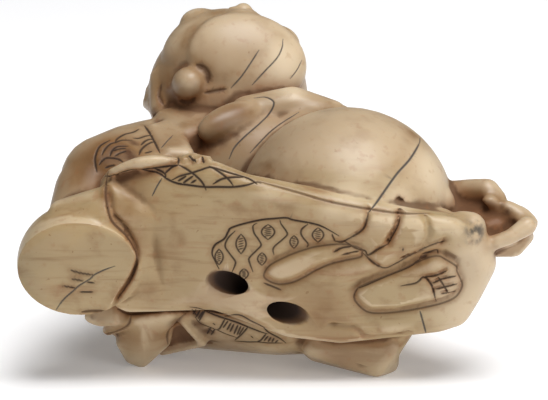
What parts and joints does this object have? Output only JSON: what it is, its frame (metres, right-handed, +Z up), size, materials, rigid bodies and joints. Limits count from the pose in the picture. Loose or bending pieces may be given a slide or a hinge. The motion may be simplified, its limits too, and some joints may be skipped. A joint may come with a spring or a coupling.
{
  "type": "netsuke",
  "caption": "Ivory netsuke carved in one piece as a seated, laughing Hotei with a sack, lying on its back with feet and slanting cord holes showing on the flat underside.",
  "frame": {"origin": "centre of the box around the carving, at the table top that it lies on", "axes": "+X to the right along the carving's width, +Y away from the flat underside and towards the top of the head, +Z up from the back of the figure to its belly"},
  "size_m": [0.0504, 0.0359, 0.0332],
  "materials": {
    "ivory": "polished, with brown stain in the cuts"
  },
  "bodies": {
    "root": {"netsuke": "ivory"}
  },
  "joints": []
}
